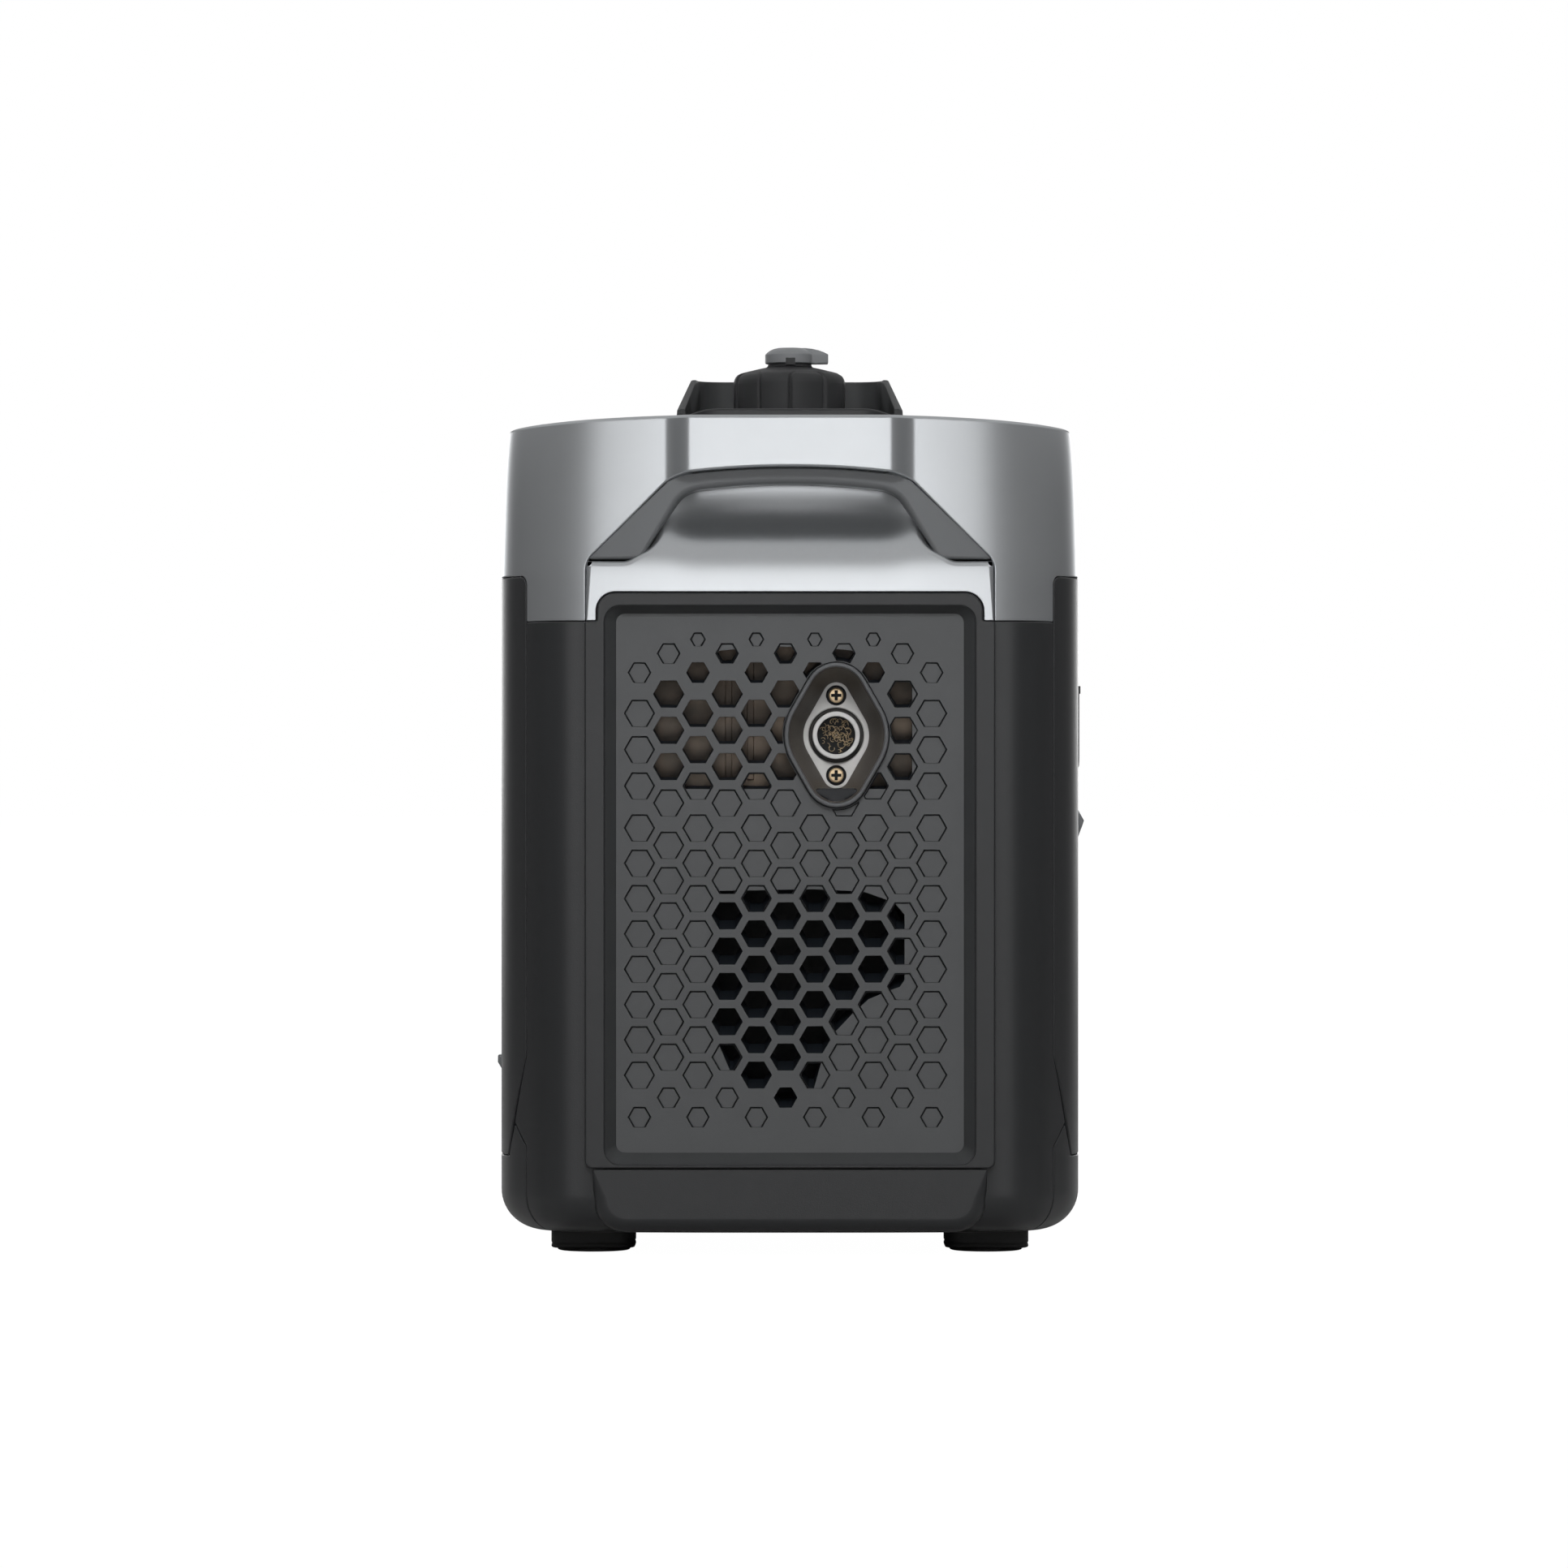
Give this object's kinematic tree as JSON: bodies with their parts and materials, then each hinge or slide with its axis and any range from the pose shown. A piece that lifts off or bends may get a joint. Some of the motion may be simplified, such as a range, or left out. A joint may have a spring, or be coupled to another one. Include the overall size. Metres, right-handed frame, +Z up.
{
  "type": "portable inverter generator",
  "caption": "Suitcase generator: silver top shell with a carry handle at each end, black housing, honeycomb end grilles, exhaust outlet, vented filler cap, control panel and service door.",
  "frame": {"origin": "on the ground under the middle of the housing", "axes": "+Z up; -Y is the exhaust end and +Y the air intake end; +X is the control panel side, -X the service door side"},
  "size_m": [0.316, 0.597, 0.466],
  "materials": {
    "silver_shell": "metallic silver paint, satin gloss",
    "liner_grey": "mid grey, fine grain",
    "black_shell": "charcoal moulded plastic, fine grain",
    "grille_grey": "dark grey moulded plastic",
    "dark_trim": "black moulded plastic, textured",
    "rubber_black": "black rubber",
    "panel_black": "glossy black",
    "screen": "smoked window over a display",
    "alloy": "cast, satin",
    "steel": "plain steel",
    "hot_steel": "heat-browned steel",
    "brass": "pale yellow plating",
    "copper": "copper windings",
    "knob_grey": "mid grey plastic",
    "orange": "orange plastic",
    "rope": "braided cord"
  },
  "bodies": {
    "housing": {"top_shell": "silver_shell", "handle_scoop_exhaust": "silver_shell", "handle_scoop_intake": "silver_shell", "handle_liner_exhaust": "liner_grey", "handle_liner_intake": "liner_grey", "base_pan": "black_shell", "end_cover_exhaust": "black_shell", "end_cover_intake": "black_shell", "side_cover_control": "black_shell", "side_cover_service": "black_shell", "fuel_tank": "black_shell", "grille_exhaust": "grille_grey", "grille_intake": "grille_grey", "exhaust_hood": "grille_grey", "top_deck": "dark_trim", "cap_guard": "dark_trim", "air_filter_box": "dark_trim", "recoil_housing": "dark_trim", "ac_outlet_left": "dark_trim", "ac_outlet_right": "dark_trim", "dc_port": "dark_trim", "foot_exhaust_left": "rubber_black", "foot_exhaust_right": "rubber_black", "foot_intake_left": "rubber_black", "foot_intake_right": "rubber_black", "engine_mount_left": "rubber_black", "engine_mount_right": "rubber_black", "spark_plug": "rubber_black", "control_panel": "panel_black", "starter_battery": "panel_black", "display_screen": "screen", "engine_block": "alloy", "cylinder_head": "alloy", "carburetor": "alloy", "inverter_module": "alloy", "outlet_flange": "steel", "exhaust_header": "steel", "muffler": "hot_steel", "muffler_heat_shield": "hot_steel", "spark_arrestor": "hot_steel", "flange_screw_upper": "brass", "flange_screw_lower": "brass", "ground_terminal": "brass", "alternator_stator": "copper"},
    "filler_plug": {"fuel_cap_plug": "dark_trim"},
    "filler_cap": {"fuel_cap": "dark_trim"},
    "vent_lever": {"vent_knob": "knob_grey"},
    "crankshaft": {"crank_rotor": "steel"},
    "starter_pulley": {"recoil_pulley": "knob_grey"},
    "starter_grip": {"recoil_handle": "rubber_black", "recoil_rope": "rope"},
    "starter_button": {"start_button": "orange"},
    "reset_button": {"breaker_button": "knob_grey"},
    "run_dial": {"engine_dial": "dark_trim"},
    "left_flap": {"ac_flap_left": "rubber_black"},
    "right_flap": {"ac_flap_right": "rubber_black"},
    "small_flap": {"dc_flap": "rubber_black"},
    "door": {"service_door": "black_shell"},
    "latch": {"door_latch": "dark_trim"},
    "dipstick": {"oil_dipstick": "orange"}
  },
  "joints": [
    {"name": "cap_lift", "type": "slide", "parent": "housing", "child": "filler_plug", "axis": [0, 0, 1], "range_m": [0, 0.07]},
    {"name": "cap_turn", "type": "hinge", "parent": "filler_plug", "child": "filler_cap", "pos_m": [0, -0.1385, 0.44], "axis": [0, 0, 1], "range_deg": [0, 270]},
    {"name": "vent_turn", "type": "hinge", "parent": "filler_cap", "child": "vent_lever", "pos_m": [0, -0.1385, 0.44], "axis": [0, 0, 1], "range_deg": [0, 90]},
    {"name": "crank_spin", "type": "hinge", "parent": "housing", "child": "crankshaft", "pos_m": [0, 0, 0.13], "axis": [0, 1, 0], "continuous": true},
    {"name": "starter_pull", "type": "slide", "parent": "housing", "child": "starter_grip", "axis": [1, 0, 0], "range_m": [0, 0.5], "stiffness_N_per_m": 20, "springref_m": -0.5, "deforming": ["recoil_rope"]},
    {"name": "pulley_spin", "type": "hinge", "parent": "housing", "child": "starter_pulley", "pos_m": [0, 0.095, 0.13], "axis": [0, 1, 0], "range_deg": [-5, 645]},
    {"name": "start_press", "type": "slide", "parent": "housing", "child": "starter_button", "axis": [-1, 0, 0], "range_m": [0, 0.002], "stiffness_N_per_m": 400},
    {"name": "reset_press", "type": "slide", "parent": "housing", "child": "reset_button", "axis": [-1, 0, 0], "range_m": [0, 0.002], "stiffness_N_per_m": 400},
    {"name": "dial_turn", "type": "hinge", "parent": "housing", "child": "run_dial", "pos_m": [0.148, -0.042, 0.221], "axis": [1, 0, 0], "range_deg": [0, 90]},
    {"name": "left_flap_open", "type": "hinge", "parent": "housing", "child": "left_flap", "pos_m": [0.1466, -0.155, 0.191], "axis": [0, -1, 0], "range_deg": [0, 110]},
    {"name": "right_flap_open", "type": "hinge", "parent": "housing", "child": "right_flap", "pos_m": [0.1466, -0.098, 0.191], "axis": [0, -1, 0], "range_deg": [0, 110]},
    {"name": "small_flap_open", "type": "hinge", "parent": "housing", "child": "small_flap", "pos_m": [0.1466, -0.037, 0.1855], "axis": [0, -1, 0], "range_deg": [0, 110]},
    {"name": "door_open", "type": "hinge", "parent": "housing", "child": "door", "pos_m": [-0.14995, 0, 0.2354], "axis": [0, 1, 0], "range_deg": [0, 100]},
    {"name": "latch_turn", "type": "hinge", "parent": "door", "child": "latch", "pos_m": [-0.148, -0.008, 0.082], "axis": [-1, 0, 0], "range_deg": [0, 90]},
    {"name": "dipstick_turn", "type": "hinge", "parent": "housing", "child": "dipstick", "pos_m": [-0.08, -0.096, 0.104], "axis": [-1, 0, 0], "range_deg": [0, 720]}
  ],
  "couplings": [
    {"joint": "pulley_spin", "follows": "starter_pull", "rad_per_m": 22.222}
  ]
}
